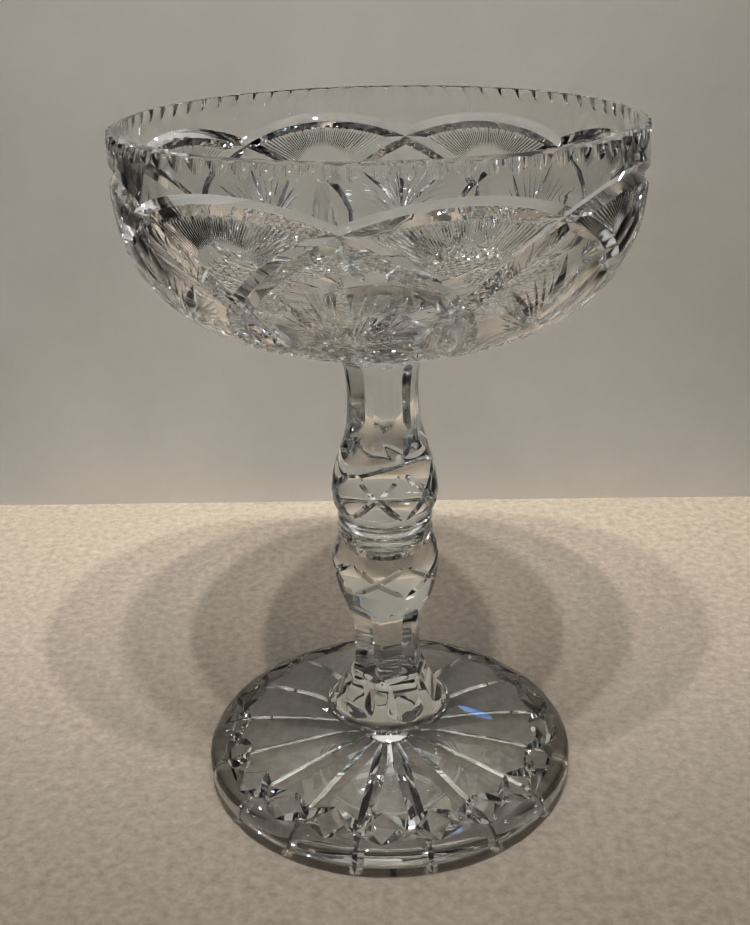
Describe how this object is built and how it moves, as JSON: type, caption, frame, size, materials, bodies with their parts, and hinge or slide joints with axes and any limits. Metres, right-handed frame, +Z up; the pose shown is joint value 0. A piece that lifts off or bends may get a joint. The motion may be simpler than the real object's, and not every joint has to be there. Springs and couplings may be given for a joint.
{
  "type": "punch bowl",
  "caption": "Wide cut-glass punch bowl with a scalloped rim, on a tall knopped pedestal that lifts apart at a ground joint and stands on a rayed round foot.",
  "frame": {"origin": "centre of the foot's resting plane", "axes": "+Z up along the pedestal's axis; -Y is the side that faces the viewer"},
  "size_m": [0.3066, 0.3066, 0.442],
  "materials": {
    "bowl_glass": "polished cut crystal, clear and colourless",
    "stem_glass": "polished cut crystal, clear and colourless, with a ground joint",
    "foot_glass": "polished cut crystal, clear with a faint grey cast where it is thick"
  },
  "bodies": {
    "pedestal": {"lower_stem": "stem_glass", "foot": "foot_glass"},
    "bowl_unit": {"bowl": "bowl_glass", "upper_stem": "stem_glass"}
  },
  "joints": [
    {"name": "bowl_lift", "type": "slide", "parent": "pedestal", "child": "bowl_unit", "axis": [0, 0, 1], "range_m": [0, 0.06]}
  ]
}
